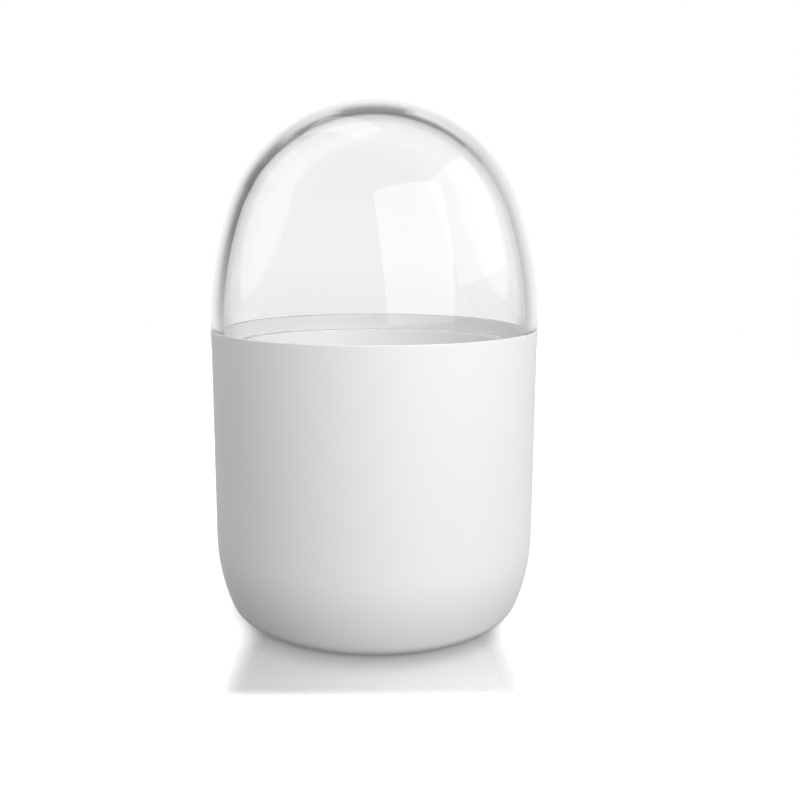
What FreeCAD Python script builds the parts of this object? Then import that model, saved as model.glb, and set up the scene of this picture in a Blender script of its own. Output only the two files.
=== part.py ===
import FreeCAD, Part

import math
import os

import Sketcher

# Toothpick dispenser: a white cup, and a clear domed lid whose tongue laps inside the cup's lip.
# Lengths are millimetres. Z is up, and the origin is the centre of the foot, on the table.

SIZES = (
    ("overall_height", 110.0, "table to the crown of the dome"),
    ("body_diameter", 70.0, "outside, where cup and lid meet"),
    ("seam_height", 62.3, "table to the rim of the cup, which the lid sits on"),
    ("dome_side_radius", 75.5, "outside radius of the dome's side, whose centre is level with the seam"),
    ("wall_foot_height", 17.2, "table to where the cup's upright wall starts to round in"),
    ("side_round", 40.0, "outside radius of the long curve below the upright wall"),
    ("foot_round", 4.0, "outside radius of the short curve onto the foot"),
    ("cup_wall", 2.6, "wall of the cup"),
    ("floor_thickness", 2.2, "floor of the cup, above the recess in its foot"),
    ("inner_foot_round", 3.0, "radius inside the cup, between wall and floor"),
    ("foot_ring_width", 4.0, "width of the flat ring that the cup stands on"),
    ("foot_recess_depth", 0.8, "how far the underside is raised inside that ring"),
    ("gate_dimple_diameter", 4.0, "sunk spot in the underside that hides the moulding gate"),
    ("gate_dimple_depth", 0.5, "depth of that spot"),
    ("lip_thickness", 1.15, "thin outer lip round the cup's rebated mouth"),
    ("lid_wall", 2.6, "wall of the dome at its shoulder"),
    ("crown_wall", 3.0, "wall of the dome at its crown, which is a little thicker"),
    ("tongue_length", 3.8, "how far the lid's tongue reaches down inside the lip"),
    ("tongue_end_gap", 0.2, "room between the tongue's end and the ledge in the cup"),
    ("lap_clearance", 0.15, "room between the tongue and the lip, on the radius"),
    ("lead_in", 0.35, "chamfer that guides the tongue into the mouth"),
    ("edge_break", 0.15, "chamfer that takes the sharpness off the edges at the seam and under the foot"),
)

# Numbers of a sketch's own axes, and of the points of its lines and arcs.
VERTICAL_AXIS, HORIZONTAL_AXIS = range(-2, 0)
START, END, CENTRE = range(1, 4)
ORIGIN = (HORIZONTAL_AXIS, START)

SAME = 1e-4


def make_sheet(document):
    """Writes the driving sizes into a spreadsheet, one to a row, each with its name as an alias."""
    sheet = document.addObject("Spreadsheet::Sheet", "sizes")
    for row, (name, millimetres, meaning) in enumerate(SIZES, 1):
        sheet.set(f"A{row}", name)
        sheet.set(f"B{row}", str(millimetres))
        sheet.set(f"C{row}", meaning)
        sheet.setAlias(f"B{row}", name)
    document.recompute()
    return sheet


def new_body(document, name):
    body = document.addObject("PartDesign::Body", name)
    body.Label = name
    return body


def new_sketch(body, name, plane):
    """A sketch on one of the body's own origin planes."""
    sketch = body.newObject("Sketcher::SketchObject", name)
    support = next(item for item in body.Origin.OriginFeatures if item.Role == plane)
    sketch.AttachmentSupport = [(support, "")]
    sketch.MapMode = "FlatFace"
    return sketch


def value(owner, expression):
    return float(owner.evalExpression(expression))


def dimension(sketch, kind, places, expression):
    """A dimension of a sketch that follows an expression of the driving sizes."""
    index = sketch.addConstraint(Sketcher.Constraint(kind, *places, value(sketch, expression)))
    sketch.setExpression(f"Constraints[{index}]", expression)


def measure(sketch, name, kind, places, length):
    """A dimension that only measures the sketch, under a name that expressions can use."""
    index = sketch.addConstraint(Sketcher.Constraint(kind, *places, length))
    sketch.setDriving(index, False)
    sketch.renameConstraint(index, name)


def trace(sketch, outline, smooth):
    """Draws a closed outline. The pieces named in smooth run tangent into the next piece."""
    sketch.addGeometry(outline, False)
    for piece in range(len(outline)):
        following = (piece + 1) % len(outline)
        joint = "Tangent" if piece in smooth else "Coincident"
        sketch.addConstraint(Sketcher.Constraint(joint, piece, END, following, START))


def point(x, y):
    return FreeCAD.Vector(x, y, 0)


def arc(centre, radius, first, last):
    circle = Part.Circle(centre, FreeCAD.Vector(0, 0, 1), radius)
    return Part.ArcOfCircle(circle, first, last)


def angle_to(centre, place):
    return math.atan2(place.y - centre.y, place.x - centre.x)


def draw_cup_section(sketch, inset, side_radius, foot_radius, floor_height):
    """Half section of the cup's form: floor, two tangent arcs, upright wall, rim and axis.

    inset is how far the wall lies inside the outer one. It and the radii are expressions.
    """
    rim = point(value(sketch, f"sizes.body_diameter / 2 - {inset}"), value(sketch, "sizes.seam_height"))
    wall_foot = point(rim.x, value(sketch, "sizes.wall_foot_height"))
    side, foot = value(sketch, side_radius), value(sketch, foot_radius)
    floor = value(sketch, floor_height)
    side_centre = point(rim.x - side, wall_foot.y)
    drop = side_centre.y - floor - foot
    foot_centre = point(side_centre.x + math.sqrt((side - foot) ** 2 - drop ** 2), floor + foot)
    meeting = angle_to(side_centre, foot_centre)

    flat, foot_arc, side_arc, wall, top, axis = range(6)
    trace(
        sketch,
        [
            Part.LineSegment(point(0, floor), point(foot_centre.x, floor)),
            arc(foot_centre, foot, -math.pi / 2, meeting),
            arc(side_centre, side, meeting, 0),
            Part.LineSegment(wall_foot, rim),
            Part.LineSegment(rim, point(0, rim.y)),
            Part.LineSegment(point(0, rim.y), point(0, floor)),
        ],
        smooth=(flat, foot_arc, side_arc),
    )
    sketch.addConstraint(Sketcher.Constraint("Horizontal", flat))
    sketch.addConstraint(Sketcher.Constraint("Vertical", wall))
    sketch.addConstraint(Sketcher.Constraint("Horizontal", top))
    sketch.addConstraint(Sketcher.Constraint("PointOnObject", axis, START, VERTICAL_AXIS))
    sketch.addConstraint(Sketcher.Constraint("PointOnObject", axis, END, VERTICAL_AXIS))
    dimension(sketch, "DistanceX", (*ORIGIN, wall, END), f"sizes.body_diameter / 2 - {inset}")
    dimension(sketch, "DistanceY", (*ORIGIN, wall, END), "sizes.seam_height")
    dimension(sketch, "DistanceY", (*ORIGIN, wall, START), "sizes.wall_foot_height")
    dimension(sketch, "Radius", (side_arc,), side_radius)
    dimension(sketch, "Radius", (foot_arc,), foot_radius)
    if floor > 0:
        dimension(sketch, "DistanceY", (*ORIGIN, flat, START), floor_height)
    else:
        sketch.addConstraint(Sketcher.Constraint("PointOnObject", flat, START, HORIZONTAL_AXIS))
    measure(sketch, "flat_radius", "DistanceX", (flat, START, flat, END), foot_centre.x)


def draw_dome_section(sketch, inset, crown_inset):
    """Half section of the dome's form: shoulder, side arc, crown arc and axis.

    The side arc stands upright on the shoulder and runs tangent into the crown arc, whose centre
    is on the axis and whose radius follows. The insets, at the shoulder and at the crown, draw the
    inside by the same rules, so that the wall changes smoothly from one to the other.
    """
    radius = value(sketch, f"sizes.body_diameter / 2 - {inset}")
    side = value(sketch, f"sizes.dome_side_radius - {inset}")
    rise = f"sizes.overall_height - sizes.seam_height - {crown_inset}"
    height = value(sketch, rise)
    crown = (2 * side * radius - radius ** 2 - height ** 2) / (2 * (side - height))
    side_centre = point(radius - side, 0)
    crown_centre = point(0, height - crown)
    meeting = angle_to(side_centre, crown_centre)

    shoulder, side_arc, crown_arc, axis = range(4)
    trace(
        sketch,
        [
            Part.LineSegment(point(0, 0), point(radius, 0)),
            arc(side_centre, side, 0, meeting),
            arc(crown_centre, crown, meeting, math.pi / 2),
            Part.LineSegment(point(0, height), point(0, 0)),
        ],
        smooth=(side_arc,),
    )
    sketch.addConstraint(Sketcher.Constraint("Coincident", shoulder, START, *ORIGIN))
    sketch.addConstraint(Sketcher.Constraint("Horizontal", shoulder))
    sketch.addConstraint(Sketcher.Constraint("Vertical", axis))
    sketch.addConstraint(Sketcher.Constraint("PointOnObject", side_arc, CENTRE, HORIZONTAL_AXIS))
    sketch.addConstraint(Sketcher.Constraint("PointOnObject", crown_arc, CENTRE, VERTICAL_AXIS))
    dimension(sketch, "DistanceX", (shoulder, START, shoulder, END), f"sizes.body_diameter / 2 - {inset}")
    dimension(sketch, "DistanceY", (axis, END, axis, START), rise)
    dimension(sketch, "Radius", (side_arc,), f"sizes.dome_side_radius - {inset}")


def draw_rings(sketch, *radii):
    """Circles about the axis, one for each expression of a radius."""
    for number, radius in enumerate(radii):
        circle = Part.Circle(point(0, 0), FreeCAD.Vector(0, 0, 1), value(sketch, radius))
        sketch.addGeometry(circle, False)
        sketch.addConstraint(Sketcher.Constraint("Coincident", number, CENTRE, *ORIGIN))
        dimension(sketch, "Radius", (number,), radius)


def turn(body, kind, name, sketch):
    """A Revolution or a Groove all the way round the sketch's upright axis."""
    feature = body.newObject(f"PartDesign::{kind}", name)
    feature.Profile = (sketch, [""])
    feature.ReferenceAxis = (sketch, ["V_Axis"])
    feature.Angle = 360.0
    return feature


def extrude(body, kind, name, sketch, length, reverse):
    """A Pad or a Pocket whose length follows an expression."""
    feature = body.newObject(f"PartDesign::{kind}", name)
    feature.Profile = (sketch, [""])
    feature.setExpression("Length", length)
    feature.Reversed = reverse
    return feature


def ring_edge(feature, radius, height):
    """Name of the feature's round edge of this radius at this height."""
    wanted = value(feature, radius)
    level = value(feature, height)
    for number, edge in enumerate(feature.Shape.Edges, 1):
        curve = edge.Curve
        if not isinstance(curve, Part.Circle):
            continue
        if abs(curve.Radius - wanted) < SAME and abs(curve.Center.z - level) < SAME:
            return f"Edge{number}"
    raise RuntimeError(f"{feature.Label} has no round edge of radius {wanted} at height {level}")


def chamfer(body, name, base, edges, size):
    """A chamfer of an expression's size on named edges of the base feature."""
    feature = body.newObject("PartDesign::Chamfer", name)
    feature.Base = (base, edges)
    feature.setExpression("Size", size)
    return feature


def make_cup(document):
    """White cup: upright wall, rounded foot with a recess, and a rebated mouth that leaves a lip."""
    body = new_body(document, "cup")

    form = new_sketch(body, "cup_form", "XZ_Plane")
    draw_cup_section(form, "0", "sizes.side_round", "sizes.foot_round", "0")
    turn(body, "Revolution", "cup_solid", form)

    cavity = new_sketch(body, "cup_cavity", "XZ_Plane")
    draw_cup_section(
        cavity,
        "sizes.cup_wall",
        "sizes.side_round - sizes.cup_wall",
        "sizes.inner_foot_round",
        "sizes.foot_recess_depth + sizes.floor_thickness",
    )
    turn(body, "Groove", "cup_hollow", cavity)

    rebate = new_sketch(body, "mouth_rebate", "XY_Plane")
    rebate.setExpression("AttachmentOffset.Base.z", "sizes.seam_height")
    draw_rings(rebate, "sizes.body_diameter / 2 - sizes.lip_thickness")
    extrude(body, "Pocket", "rebate", rebate, "sizes.tongue_length + sizes.tongue_end_gap", False)
    document.recompute()

    recess_radius = "cup_form.Constraints.flat_radius / 1 mm - sizes.foot_ring_width"
    recess = new_sketch(body, "foot_recess", "XY_Plane")
    draw_rings(recess, recess_radius)
    extrude(body, "Pocket", "recess", recess, "sizes.foot_recess_depth", True)

    dimple = new_sketch(body, "gate_dimple", "XY_Plane")
    draw_rings(dimple, "sizes.gate_dimple_diameter / 2")
    depth = "sizes.foot_recess_depth + sizes.gate_dimple_depth"
    last = extrude(body, "Pocket", "dimple", dimple, depth, True)
    document.recompute()

    edges = [
        ring_edge(last, "sizes.body_diameter / 2", "sizes.seam_height"),
        ring_edge(last, "sizes.body_diameter / 2 - sizes.lip_thickness", "sizes.seam_height"),
        ring_edge(last, recess_radius, "0"),
        ring_edge(last, recess_radius, "sizes.foot_recess_depth"),
        ring_edge(last, "sizes.gate_dimple_diameter / 2", "sizes.foot_recess_depth"),
    ]
    chamfer(body, "cup_edges", last, edges, "sizes.edge_break")
    return body


def make_dome_lid(document):
    """Clear lid: a domed shell with a tongue under the inner half of its shoulder."""
    body = new_body(document, "dome_lid")
    body.setExpression("Placement.Base.z", "sizes.seam_height")

    form = new_sketch(body, "dome_form", "XZ_Plane")
    draw_dome_section(form, "0", "0")
    turn(body, "Revolution", "dome_solid", form)

    tongue_radius = "sizes.body_diameter / 2 - sizes.lip_thickness - sizes.lap_clearance"
    ring = new_sketch(body, "tongue_ring", "XY_Plane")
    draw_rings(ring, tongue_radius, "sizes.body_diameter / 2 - sizes.lid_wall")
    extrude(body, "Pad", "tongue", ring, "sizes.tongue_length", True)

    cavity = new_sketch(body, "dome_cavity", "XZ_Plane")
    draw_dome_section(cavity, "sizes.lid_wall", "sizes.crown_wall")
    last = turn(body, "Groove", "dome_hollow", cavity)
    document.recompute()

    tip = ring_edge(last, tongue_radius, "-sizes.tongue_length")
    guided = chamfer(body, "tongue_lead_in", last, [tip], "sizes.lead_in")
    document.recompute()

    rim = [
        ring_edge(guided, "sizes.body_diameter / 2", "0"),
        ring_edge(guided, "sizes.body_diameter / 2 - sizes.lid_wall", "-sizes.tongue_length"),
    ]
    chamfer(body, "lid_edges", guided, rim, "sizes.edge_break")
    return body


def check_states(document):
    for item in document.Objects:
        if "Invalid" in item.State or "Error" in item.State:
            raise RuntimeError(f"{item.Label} failed: {item.State}")
        if item.TypeId == "Sketcher::SketchObject" and not item.FullyConstrained:
            raise RuntimeError(f"the sketch {item.Label} can still move")


def check_volumes(body):
    """Every feature that adds has to add material, and every feature that cuts has to cut some."""
    volume = 0.0
    for feature in body.Group:
        if not feature.TypeId.startswith("PartDesign::"):
            continue
        change = feature.Shape.Volume - volume
        adds = feature.TypeId in ("PartDesign::Revolution", "PartDesign::Pad")
        if change <= 0 if adds else change >= 0:
            raise RuntimeError(f"{feature.Label} changed the volume by {change:.3f}")
        volume = feature.Shape.Volume


def check_solid(body):
    shape = body.Shape
    if shape.isNull() or not shape.isValid() or len(shape.Solids) != 1:
        raise RuntimeError(f"{body.Label} isn't one sound solid")
    box = shape.optimalBoundingBox(False)
    print(f"{body.Label}: {shape.Volume:.0f} cubic mm, z {box.ZMin:.2f} to {box.ZMax:.2f}, width {box.XLength:.2f}")


def main():
    document = FreeCAD.newDocument("toothpick_dispenser")
    make_sheet(document)
    pieces = [make_cup(document), make_dome_lid(document)]
    document.recompute()
    check_states(document)
    for body in pieces:
        check_volumes(body)
        check_solid(body)
    os.makedirs("parts", exist_ok=True)
    for body in pieces:
        body.Shape.exportStep(f"parts/{body.Label}.step")


main()
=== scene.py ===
import math

import bpy
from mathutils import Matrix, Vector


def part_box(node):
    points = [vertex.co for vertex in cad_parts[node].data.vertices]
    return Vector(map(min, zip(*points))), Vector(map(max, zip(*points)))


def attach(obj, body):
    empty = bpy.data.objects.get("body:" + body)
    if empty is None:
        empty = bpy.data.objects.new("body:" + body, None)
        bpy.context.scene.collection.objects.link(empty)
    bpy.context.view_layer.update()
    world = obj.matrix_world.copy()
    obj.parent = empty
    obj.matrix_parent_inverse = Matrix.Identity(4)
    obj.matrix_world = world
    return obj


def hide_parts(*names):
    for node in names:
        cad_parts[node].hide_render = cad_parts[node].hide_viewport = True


# Toothpick dispenser: a satin white cup and a clear domed lid, standing on a pale floor that is
# polished where the object stands. Metres throughout.

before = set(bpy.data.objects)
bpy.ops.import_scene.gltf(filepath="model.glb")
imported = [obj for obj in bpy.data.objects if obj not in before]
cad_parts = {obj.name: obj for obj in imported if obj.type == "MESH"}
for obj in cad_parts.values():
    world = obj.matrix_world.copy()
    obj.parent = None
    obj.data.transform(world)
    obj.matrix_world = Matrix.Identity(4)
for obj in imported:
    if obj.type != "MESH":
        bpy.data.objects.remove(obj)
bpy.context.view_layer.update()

cup_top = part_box("cup")[1]
lid_bottom, lid_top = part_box("dome_lid")

BODY_RADIUS = cup_top.x
SEAM_HEIGHT = cup_top.z
TOP_HEIGHT = lid_top.z
TONGUE_END = lid_bottom.z

# The model's own lengths, but for the gap under the tongue's end, which is drawn narrower: seen
# through the clear lid, the model's gap is a darker line than the photographed one.
MM = 0.001
DOME_SIDE_RADIUS = 75.5 * MM
LID_WALL = 2.6 * MM
CROWN_WALL = 3.0 * MM
LIP = 1.15 * MM
LAP_CLEARANCE = 0.15 * MM
TONGUE_END_GAP = 0.05 * MM
LEAD_IN = 0.35 * MM
CUP_WALL = 2.6 * MM
WALL_FOOT_HEIGHT = 17.2 * MM
SIDE_ROUND = 40.0 * MM
FOOT_ROUND = 4.0 * MM
INNER_FOOT_ROUND = 3.0 * MM
FOOT_RECESS = 0.8 * MM
FLOOR_THICKNESS = 2.2 * MM
FOOT_RING = 4.0 * MM
DIMPLE_RADIUS = 2.0 * MM
DIMPLE_DEPTH = 0.5 * MM
SOFT_EDGE = 0.15 * MM

# How finely the meshes are divided.
STEPS_ROUND = 256
ARC_STEP = 0.8 * MM
FEWEST_ARC_STEPS = 4
EDGE_STEPS = 5

# The camera is close: these four values give the photographed outline.
CAMERA_DISTANCE = 0.2000
CAMERA_HEIGHT = 0.0819
CAMERA_PITCH = 0.1770
FOCAL_LENGTH_PX = 920.4
PICTURE_PX = 800
OBJECT_CENTRE_PX = 374.2
SENSOR_MM = 36.0
CLIP_START = 0.01

WHITE = (1, 1, 1, 1)


def arc(centre, radius, first, last):
    """Points of an arc in the outline's plane, both ends included."""
    count = max(FEWEST_ARC_STEPS, math.ceil(abs(last - first) * radius / ARC_STEP))
    turns = [first + (last - first) * i / count for i in range(count + 1)]
    return [(centre[0] + radius * math.cos(t), centre[1] + radius * math.sin(t)) for t in turns]


def softened(before, corner, after, size):
    """A sharp corner between two straight neighbours, as a small round of that setback."""
    def towards(end):
        reach = math.dist(corner, end)
        return [corner[i] + (end[i] - corner[i]) * size / reach for i in (0, 1)]
    a, b = towards(before), towards(after)
    points = []
    for i in range(EDGE_STEPS + 1):
        t = i / EDGE_STEPS
        points.append(tuple(
            a[k] * (1 - t) ** 2 + corner[k] * 2 * t * (1 - t) + b[k] * t ** 2 for k in (0, 1)
        ))
    return points


def with_soft_corners(outline):
    """Replaces each corner marked with a setback, (radius, height, setback), by its small round."""
    made = []
    for i, place in enumerate(outline):
        if len(place) == 2:
            made.append(place)
            continue
        before, after = outline[i - 1][:2], outline[(i + 1) % len(outline)][:2]
        made += softened(before, place[:2], after, place[2])
    return made


def turned(name, outline):
    """Solid of revolution: an open outline that starts and ends on the axis, or a closed ring."""
    open_ended = outline[0][0] == 0 and outline[-1][0] == 0
    vertices, rows = [], []
    for radius, height in outline:
        if radius == 0:
            rows.append([len(vertices)] * STEPS_ROUND)
            vertices.append((0, 0, height))
            continue
        rows.append([len(vertices) + i for i in range(STEPS_ROUND)])
        for i in range(STEPS_ROUND):
            turn = 2 * math.pi * i / STEPS_ROUND
            vertices.append((radius * math.cos(turn), radius * math.sin(turn), height))
    faces = []
    pairs = list(zip(rows, rows[1:]))
    if not open_ended:
        pairs.append((rows[-1], rows[0]))
    for lower, upper in pairs:
        for i in range(STEPS_ROUND):
            j = (i + 1) % STEPS_ROUND
            ring = [lower[i], lower[j], upper[j], upper[i]]
            # At the axis two corners are one point, and the face is a triangle.
            faces.append(list(dict.fromkeys(ring)))
    mesh = bpy.data.meshes.new(name)
    mesh.from_pydata(vertices, [], faces)
    mesh.validate()
    mesh.shade_smooth()
    piece = bpy.data.objects.new(name, mesh)
    bpy.context.scene.collection.objects.link(piece)
    # Large faces decide the normals, so that the small rounds stay crisp.
    large_faces_first = 100
    weights = piece.modifiers.new("even_normals", "WEIGHTED_NORMAL")
    weights.weight = large_faces_first
    return piece


def corner_curve(inset, side, foot, floor):
    """Long side arc and short foot arc between floor and wall, from the floor up."""
    side_centre = (BODY_RADIUS - inset - side, WALL_FOOT_HEIGHT)
    drop = side_centre[1] - floor - foot
    foot_centre = (side_centre[0] + math.sqrt((side - foot) ** 2 - drop ** 2), floor + foot)
    meeting = -math.asin(drop / (side - foot))
    return arc(foot_centre, foot, -math.pi / 2, meeting) + arc(side_centre, side, meeting, 0)[1:]


def dome_curve(side_inset, crown_inset):
    """Side arc and crown arc of the dome, from the seam up to the axis."""
    radius = BODY_RADIUS - side_inset
    side = DOME_SIDE_RADIUS - side_inset
    height = TOP_HEIGHT - SEAM_HEIGHT - crown_inset
    crown = (2 * side * radius - radius ** 2 - height ** 2) / (2 * (side - height))
    rise = height - crown
    meeting = math.atan2(rise, side - radius)
    lower = arc((radius - side, SEAM_HEIGHT), side, 0, meeting)
    upper = arc((0, SEAM_HEIGHT + rise), crown, meeting, math.pi / 2)
    return lower + upper[1:-1] + [(0, SEAM_HEIGHT + height)]


def make_cup():
    outer = corner_curve(0, SIDE_ROUND, FOOT_ROUND, 0)
    floor = FOOT_RECESS + FLOOR_THICKNESS
    inner = corner_curve(CUP_WALL, SIDE_ROUND - CUP_WALL, INNER_FOOT_ROUND, floor)
    recess = outer[0][0] - FOOT_RING
    lip = BODY_RADIUS - LIP
    ledge = TONGUE_END - TONGUE_END_GAP
    bore = BODY_RADIUS - CUP_WALL
    outline = [
        (0, FOOT_RECESS + DIMPLE_DEPTH),
        (DIMPLE_RADIUS, FOOT_RECESS + DIMPLE_DEPTH, SOFT_EDGE),
        (DIMPLE_RADIUS, FOOT_RECESS, SOFT_EDGE),
        (recess, FOOT_RECESS, SOFT_EDGE),
        (recess, 0, SOFT_EDGE),
        *outer,
        (BODY_RADIUS, SEAM_HEIGHT, SOFT_EDGE),
        (lip, SEAM_HEIGHT, SOFT_EDGE),
        (lip, ledge, SOFT_EDGE),
        (bore, ledge, SOFT_EDGE),
        *reversed(inner),
        (0, floor),
    ]
    return turned("cup_moulding", with_soft_corners(outline))


def make_lid():
    lap = BODY_RADIUS - LIP - LAP_CLEARANCE
    bore = BODY_RADIUS - LID_WALL
    outside = dome_curve(0, 0)
    inside = dome_curve(LID_WALL, CROWN_WALL)
    outline = [
        *reversed(inside[1:]),
        (bore, SEAM_HEIGHT),
        (bore, TONGUE_END, SOFT_EDGE),
        (lap - LEAD_IN, TONGUE_END, SOFT_EDGE),
        (lap, TONGUE_END + LEAD_IN, SOFT_EDGE),
        (lap, SEAM_HEIGHT, SOFT_EDGE),
        (BODY_RADIUS, SEAM_HEIGHT, SOFT_EDGE),
        *outside[1:],
    ]
    return turned("clear_dome", with_soft_corners(outline))


# A Mix node has sockets for every kind of data: first input, second input and output of two kinds.
MIX_SOCKETS = {"FLOAT": (2, 3, 0), "RGBA": (6, 7, 2)}


class Nodes:
    """Short names for building a node tree."""

    def __init__(self, tree):
        self.tree = tree

    def add(self, kind, **settings):
        node = self.tree.nodes.new(kind)
        for name, setting in settings.items():
            setattr(node, name, setting)
        return node

    def feed(self, socket, value):
        if isinstance(value, bpy.types.NodeSocket):
            self.tree.links.new(value, socket)
        else:
            socket.default_value = value

    def math(self, operation, first, second=0.0):
        node = self.add("ShaderNodeMath", operation=operation)
        self.feed(node.inputs[0], first)
        self.feed(node.inputs[1], second)
        return node.outputs[0]

    def over_all(self, operation, values):
        """The same operation over a whole list of values."""
        result = values[0]
        for value in values[1:]:
            result = self.math(operation, result, value)
        return result

    def spread(self, value, low, high, to_low, to_high, smooth=False):
        node = self.add("ShaderNodeMapRange", interpolation_type="SMOOTHSTEP" if smooth else "LINEAR")
        for socket, number in zip(node.inputs, (value, low, high, to_low, to_high)):
            self.feed(socket, number)
        return node.outputs[0]

    def noise(self, vector, scale, detail=2.0):
        node = self.add("ShaderNodeTexNoise")
        self.feed(node.inputs["Vector"], vector)
        self.feed(node.inputs["Scale"], scale)
        self.feed(node.inputs["Detail"], detail)
        return node.outputs["Fac"]

    def blend(self, kind, share, first, second):
        """The first value where the share is 0, the second where it is 1."""
        node = self.add("ShaderNodeMix", data_type=kind)
        first_socket, second_socket, output = MIX_SOCKETS[kind]
        self.feed(node.inputs[0], share)
        self.feed(node.inputs[first_socket], first)
        self.feed(node.inputs[second_socket], second)
        return node.outputs[output]

    def mixed_shader(self, share, first, second):
        node = self.add("ShaderNodeMixShader")
        self.feed(node.inputs[0], share)
        self.feed(node.inputs[1], first.outputs[0])
        self.feed(node.inputs[2], second.outputs[0])
        return node

    def bump(self, height, strength, distance):
        node = self.add("ShaderNodeBump")
        node.inputs["Strength"].default_value = strength
        node.inputs["Distance"].default_value = distance
        self.feed(node.inputs["Height"], height)
        return node.outputs[0]


def blank_material(name):
    material = bpy.data.materials.new(name)
    material.use_nodes = True
    material.node_tree.nodes.clear()
    nodes = Nodes(material.node_tree)
    output = nodes.add("ShaderNodeOutputMaterial")
    return material, nodes, output


# The part of a noise's range that it mostly keeps to.
NOISE_RANGE = (0.3, 0.7)

SATIN_TONES = ((0.812, 0.803, 0.800, 1), (0.832, 0.824, 0.822, 1))
SATIN_ROUGHNESS = (0.46, 0.52)
SATIN_IOR = 1.48
DRIFT_SCALE = 45.0
GRAIN_SCALE = 2600.0
GRAIN_STRENGTH = 0.12
GRAIN_DEPTH = 0.02 * MM


def satin_white():
    """Moulded white plastic with a very fine, even texture and a faint unevenness of sheen."""
    material, nodes, output = blank_material("satin_white_plastic")
    place = nodes.add("ShaderNodeTexCoord").outputs["Object"]
    shader = nodes.add("ShaderNodeBsdfPrincipled")
    drift = nodes.noise(place, DRIFT_SCALE)
    grain = nodes.noise(place, GRAIN_SCALE, detail=1.0)
    nodes.feed(shader.inputs["Base Color"], nodes.blend("RGBA", drift, *SATIN_TONES))
    nodes.feed(shader.inputs["Roughness"], nodes.spread(drift, *NOISE_RANGE, *SATIN_ROUGHNESS))
    shader.inputs["IOR"].default_value = SATIN_IOR
    nodes.feed(shader.inputs["Normal"], nodes.bump(grain, GRAIN_STRENGTH, GRAIN_DEPTH))
    nodes.feed(output.inputs["Surface"], shader.outputs[0])
    return material


CLEAR_TINT = (0.952, 0.954, 0.956, 1)
CLEAR_IOR = 1.49
CLEAR_ROUGHNESS = (0.0, 0.02)
HAZE_SCALE = 60.0
RIPPLE_SCALE = 35.0
RIPPLE_STRENGTH = 0.1
RIPPLE_DEPTH = 0.1 * MM
PASSING_TINT = (0.97, 0.97, 0.97, 1)


def clear_plastic():
    """Polished clear plastic. Light for the inside of the cup passes straight through it."""
    material, nodes, output = blank_material("clear_plastic")
    place = nodes.add("ShaderNodeTexCoord").outputs["Object"]
    shader = nodes.add("ShaderNodeBsdfPrincipled")
    path = nodes.add("ShaderNodeLightPath")
    shader.inputs["Base Color"].default_value = CLEAR_TINT
    shader.inputs["Transmission Weight"].default_value = 1.0
    shader.inputs["IOR"].default_value = CLEAR_IOR
    haze = nodes.noise(place, HAZE_SCALE)
    nodes.feed(shader.inputs["Roughness"], nodes.spread(haze, *NOISE_RANGE, *CLEAR_ROUGHNESS))
    ripple = nodes.noise(place, RIPPLE_SCALE, detail=0.0)
    nodes.feed(shader.inputs["Normal"], nodes.bump(ripple, RIPPLE_STRENGTH, RIPPLE_DEPTH))
    passing = nodes.add("ShaderNodeBsdfTransparent")
    passing.inputs["Color"].default_value = PASSING_TINT
    lamp_or_bounce = nodes.math("MAXIMUM", path.outputs["Is Shadow Ray"], path.outputs["Is Diffuse Ray"])
    mix = nodes.mixed_shader(lamp_or_bounce, shader, passing)
    nodes.feed(output.inputs["Surface"], mix.outputs[0])
    return material


# The polished patch lies round the axis, and fades out between two distances from it, sideways and
# forwards. Both sideways distances grow by a share of the distance forwards.
POLISHED_SIDEWAYS = (20.0 * MM, 28.5 * MM)
POLISHED_FORWARD = (43.0 * MM, 48.5 * MM)
POLISHED_FLARE = 0.1

# Each pair is for the plain floor and for the polished patch.
FLOOR_GLOSS = (0.08, 0.73)
FLOOR_GLOW = (0.48, 0.08)

FLOOR_RADIUS = 0.5
FLOOR_DROP = 0.02 * MM
FLOOR_TINT = (0.9, 0.9, 0.9, 1)
FLOOR_ROUGHNESS = 0.20
FLOOR_BOUNCE = 0.15


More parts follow.
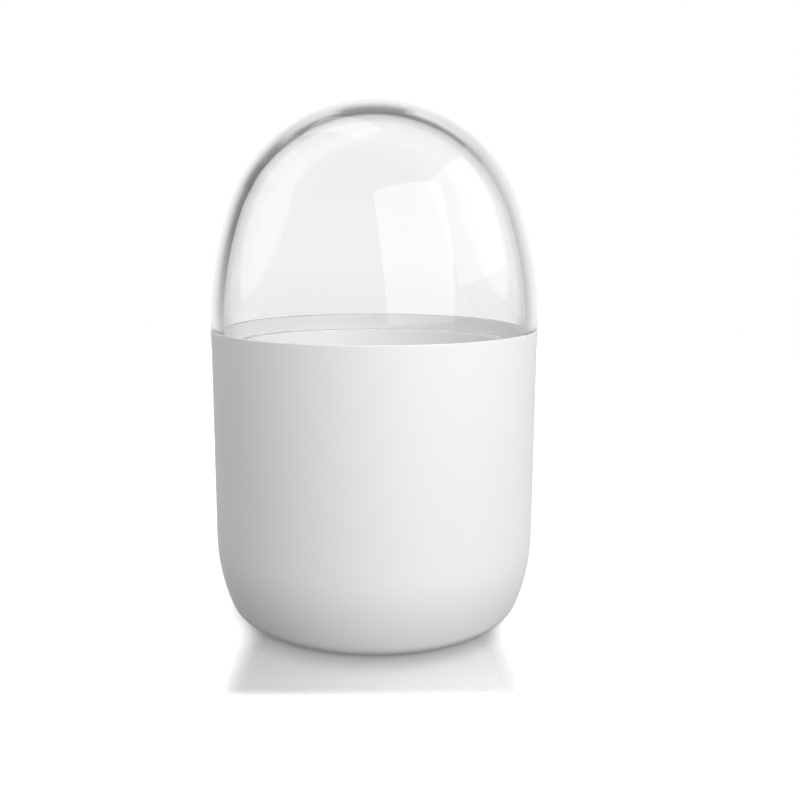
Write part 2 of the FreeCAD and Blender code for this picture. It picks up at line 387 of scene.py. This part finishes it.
def pale_floor():
    """White board, polished where the object stands.

    Sight rays see a glow on top of how it is lit, which makes it white. Matte surfaces see an even,
    dim light from it instead.
    """
    material, nodes, output = blank_material("pale_floor")
    matte = nodes.add("ShaderNodeBsdfDiffuse")
    matte.inputs["Color"].default_value = FLOOR_TINT
    sheen = nodes.add("ShaderNodeBsdfAnisotropic")
    sheen.inputs["Color"].default_value = WHITE
    sheen.inputs["Roughness"].default_value = FLOOR_ROUGHNESS
    place = nodes.add("ShaderNodeSeparateXYZ")
    nodes.feed(place.inputs[0], nodes.add("ShaderNodeTexCoord").outputs["Object"])
    sideways, forward = [nodes.math("ABSOLUTE", place.outputs[axis]) for axis in (0, 1)]
    sideways = nodes.math("SUBTRACT", sideways, nodes.math("MULTIPLY", forward, POLISHED_FLARE))
    polished = nodes.math(
        "MULTIPLY",
        nodes.spread(sideways, *POLISHED_SIDEWAYS, 1.0, 0.0, smooth=True),
        nodes.spread(forward, *POLISHED_FORWARD, 1.0, 0.0, smooth=True),
    )
    lit = nodes.mixed_shader(nodes.spread(polished, 0.0, 1.0, *FLOOR_GLOSS), matte, sheen)
    path = nodes.add("ShaderNodeLightPath")
    sight = nodes.math("MAXIMUM", path.outputs["Is Camera Ray"], path.outputs["Is Transmission Ray"])
    glow = nodes.add("ShaderNodeEmission")
    glow_strength = nodes.math("MULTIPLY", sight, nodes.spread(polished, 0.0, 1.0, *FLOOR_GLOW))
    nodes.feed(glow.inputs["Strength"], glow_strength)
    both = nodes.add("ShaderNodeAddShader")
    nodes.feed(both.inputs[0], lit.outputs[0])
    nodes.feed(both.inputs[1], glow.outputs[0])
    bounce = nodes.add("ShaderNodeEmission")
    bounce.inputs["Strength"].default_value = FLOOR_BOUNCE
    seen = nodes.mixed_shader(path.outputs["Is Diffuse Ray"], both, bounce)
    nodes.feed(output.inputs["Surface"], seen.outputs[0])
    return material


def make_floor():
    """A round board a hair below the foot."""
    mesh = bpy.data.meshes.new("floor")
    turns = [2 * math.pi * i / STEPS_ROUND for i in range(STEPS_ROUND)]
    rim = [(FLOOR_RADIUS * math.cos(t), FLOOR_RADIUS * math.sin(t), -FLOOR_DROP) for t in turns]
    mesh.from_pydata(rim, [], [list(range(STEPS_ROUND))])
    floor = bpy.data.objects.new("floor", mesh)
    bpy.context.scene.collection.objects.link(floor)
    mesh.materials.append(pale_floor())


# Painted shade for the clear lid: dark cards of the backdrop that only rays through the lid see,
# which paint the dark line along the lid's inner edge and the darker tones inside the dome. Each
# is given by its depth of shade, its span around the backdrop's middle and its span off it, in
# degrees. A card grows between a span's first two angles and fades between its last two. The middle
# is straight behind the object. Around starts at the top and is negative on the left. Where cards
# overlap, the darkest counts. Veils are fainter painted shade, and each dims what the others leave.
# The edge ones are seen through one wall of the lid, at its outline, and the middle ones through two.
ALL_ROUND = (-200, -190, 190, 200)
LID_EDGE_PAINTED_SHADES = (
    (0.86, (-112, -76, -58, -50), (27, 38, 62, 80)),
    (0.93, (-66, -60, -50, -42), (23, 35, 43, 52)),
    (0.80, (-58, -50, -41, -34), (25, 35, 45, 54)),
    (0.66, (-48, -41, -31, -24), (38, 43, 48, 58)),
    (0.80, (-38, -31, -11, -5), (34, 41, 62, 80)),
    (0.84, (-18, -11, 11, 17), (24, 36, 62, 80)),
    (0.86, (5, 11, 27, 34), (37, 43, 62, 80)),
    (0.78, (20, 27, 38, 45), (37, 43, 62, 80)),
    (0.56, (32, 38, 47, 54), (33, 42, 62, 80)),
    (0.36, (38, 44, 110, 130), (26, 41, 62, 80)),
)
LID_EDGE_PAINTED_VEILS = (
    (0.20, ALL_ROUND, (7, 13, 62, 80)),
    (0.30, (-112, -68, -34, -14), (12, 24, 62, 80)),
    (0.14, (20, 30, 46, 56), (3, 8, 30, 38)),
)
LID_MIDDLE_PAINTED_VEILS = (
    (0.24, ALL_ROUND, (22, 31, 62, 80)),
    (0.75, (-54, -40, 30, 54), (32, 40, 62, 80)),
    (0.17, (36, 50, 115, 125), (22, 29, 62, 80)),
    (0.10, (-115, -100, -45, -30), (17, 24, 62, 80)),
)
# Painted shade inside the dome: it dims only rays that were reflected before they reach the backdrop.
PAINTED_VEIL_OVER_REFLECTIONS = (0.60, ALL_ROUND, (75, 95, 300, 310))

# Below the horizon the backdrop is a little darker: heights of a ray's direction, and their light.
HORIZON = (-0.09, -0.02)
HORIZON_LIGHT = (0.93, 1.0)

# A ray that crossed the lid's wall once went through two surfaces, and one that crossed it twice
# through four.
BETWEEN_ONE_AND_TWO_WALLS = 2.5
AT_LEAST_ONCE = 0.5
AMBIENT = 0.27


def make_world():
    """White to the eye, dim light for matte surfaces, and for clear ones a white backdrop with painted
    shade for the lid.
    """
    world = bpy.data.worlds.new("studio")
    bpy.context.scene.world = world
    world.use_nodes = True
    world.node_tree.nodes.clear()
    nodes = Nodes(world.node_tree)
    split = nodes.add("ShaderNodeSeparateXYZ")
    nodes.feed(split.inputs[0], nodes.add("ShaderNodeTexCoord").outputs["Generated"])
    x, y, z = split.outputs
    degrees = 180 / math.pi
    off = nodes.math("MULTIPLY", nodes.math("ARCCOSINE", y), degrees)
    around = nodes.math("MULTIPLY", nodes.math("ARCTAN2", x, z), degrees)
    path = nodes.add("ShaderNodeLightPath")

    def window(value, rise, full, fall, end):
        up = nodes.spread(value, rise, full, 0.0, 1.0)
        down = nodes.spread(value, fall, end, 1.0, 0.0)
        return nodes.math("MULTIPLY", up, down)

    def left_by(depth, around_span, off_span):
        """What a card of painted shade leaves of the light: 1 where there is no card."""
        shade = nodes.math("MULTIPLY", window(around, *around_span), window(off, *off_span))
        return nodes.math("SUBTRACT", 1.0, nodes.math("MULTIPLY", shade, depth))

    # The lid's dark edge line is painted shade: the backdrop darkens only for rays through one wall.
    edge_painted_shade = nodes.over_all("MINIMUM", [left_by(*card) for card in LID_EDGE_PAINTED_SHADES])
    edge = nodes.over_all("MULTIPLY", [edge_painted_shade] + [left_by(*veil) for veil in LID_EDGE_PAINTED_VEILS])

    # The dome's inside gets painted shade: the backdrop darkens for rays through two walls, more after a
    # reflection.
    reflected = nodes.math("GREATER_THAN", path.outputs["Glossy Depth"], AT_LEAST_ONCE)
    middle = nodes.over_all("MULTIPLY", [left_by(*veil) for veil in LID_MIDDLE_PAINTED_VEILS] + [
        nodes.blend("FLOAT", reflected, 1.0, left_by(*PAINTED_VEIL_OVER_REFLECTIONS)),
        nodes.spread(z, *HORIZON, *HORIZON_LIGHT),
    ])
    at_edge = nodes.math("LESS_THAN", path.outputs["Transmission Depth"], BETWEEN_ONE_AND_TWO_WALLS)
    backdrop = nodes.blend("FLOAT", at_edge, middle, edge)

    strength = nodes.blend("FLOAT", path.outputs["Is Transmission Ray"], 1.0, backdrop)
    from_matte = nodes.math("GREATER_THAN", path.outputs["Diffuse Depth"], AT_LEAST_ONCE)
    strength = nodes.blend("FLOAT", from_matte, strength, AMBIENT)
    strength = nodes.blend("FLOAT", path.outputs["Is Camera Ray"], strength, 1.0)
    background = nodes.add("ShaderNodeBackground")
    background.inputs["Color"].default_value = WHITE
    nodes.feed(background.inputs["Strength"], strength)
    output = nodes.add("ShaderNodeOutputWorld")
    nodes.feed(output.inputs["Surface"], background.outputs[0])


# The lamps point at this share of the object's height, from this distance.
LAMPS_AIM = 0.6
LAMP_DISTANCE = 0.60
TOP_LAMP_DISTANCE = 0.50


def softbox(name, azimuth, elevation, width, height, radiance, distance=LAMP_DISTANCE, mirrored=True):
    """A soft rectangular lamp that faces the object. Azimuth is from the camera's side, to the right."""
    turn, rise = math.radians(azimuth), math.radians(elevation)
    lamp = bpy.data.lights.new(name, "AREA")
    lamp.shape = "RECTANGLE"
    lamp.size, lamp.size_y = width, height
    lamp.energy = radiance * math.pi * width * height
    holder = bpy.data.objects.new(name, lamp)
    bpy.context.scene.collection.objects.link(holder)
    holder.location = (
        distance * math.cos(rise) * math.sin(turn),
        -distance * math.cos(rise) * math.cos(turn),
        TOP_HEIGHT * LAMPS_AIM + distance * math.sin(rise),
    )
    holder.rotation_euler = (math.pi / 2 - rise, 0, turn)
    holder.visible_camera = False
    holder.visible_glossy = mirrored
    holder.visible_transmission = False


def make_lamps():
    """The mirrored ones show as bright windows in the dome. The others only light matte surfaces."""
    softbox("key", 14, 34, width=0.40, height=0.40, radiance=3.8, mirrored=False)
    softbox("front_box", 31, 25, width=0.53, height=0.56, radiance=1.95)
    softbox("side_box", 81, 31, width=0.52, height=0.44, radiance=1.15)
    softbox("top_box", -143, 69, width=0.13, height=0.33, radiance=1.1, distance=TOP_LAMP_DISTANCE)
    softbox("left_fill", -120, 18, width=0.50, height=0.50, radiance=1.4, mirrored=False)
    softbox("back_fill", 180, 25, width=0.50, height=0.50, radiance=1.9, mirrored=False)


def make_camera():
    camera = bpy.data.cameras.new("camera")
    camera.sensor_width = SENSOR_MM
    camera.lens = FOCAL_LENGTH_PX * SENSOR_MM / PICTURE_PX
    camera.shift_x = (PICTURE_PX / 2 - OBJECT_CENTRE_PX) / PICTURE_PX
    camera.clip_start = CLIP_START
    holder = bpy.data.objects.new("camera", camera)
    bpy.context.scene.collection.objects.link(holder)
    holder.location = (0, -CAMERA_DISTANCE, CAMERA_HEIGHT)
    holder.rotation_euler = (math.pi / 2 - CAMERA_PITCH, 0, 0)
    bpy.context.scene.camera = holder


cup = make_cup()
cup.data.materials.append(satin_white())
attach(cup, "cup")
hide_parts("cup")

lid = make_lid()
lid.data.materials.append(clear_plastic())
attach(lid, "lid")
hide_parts("dome_lid")

make_floor()
make_world()
make_lamps()
make_camera()

bpy.context.scene.view_settings.view_transform = "Standard"

# Light goes round inside the clear wall many times before it leaves, so its paths aren't cut short.
LONGEST_PATH = 32
bpy.context.scene.cycles.max_bounces = LONGEST_PATH
bpy.context.scene.cycles.glossy_bounces = LONGEST_PATH
bpy.context.scene.cycles.transmission_bounces = LONGEST_PATH
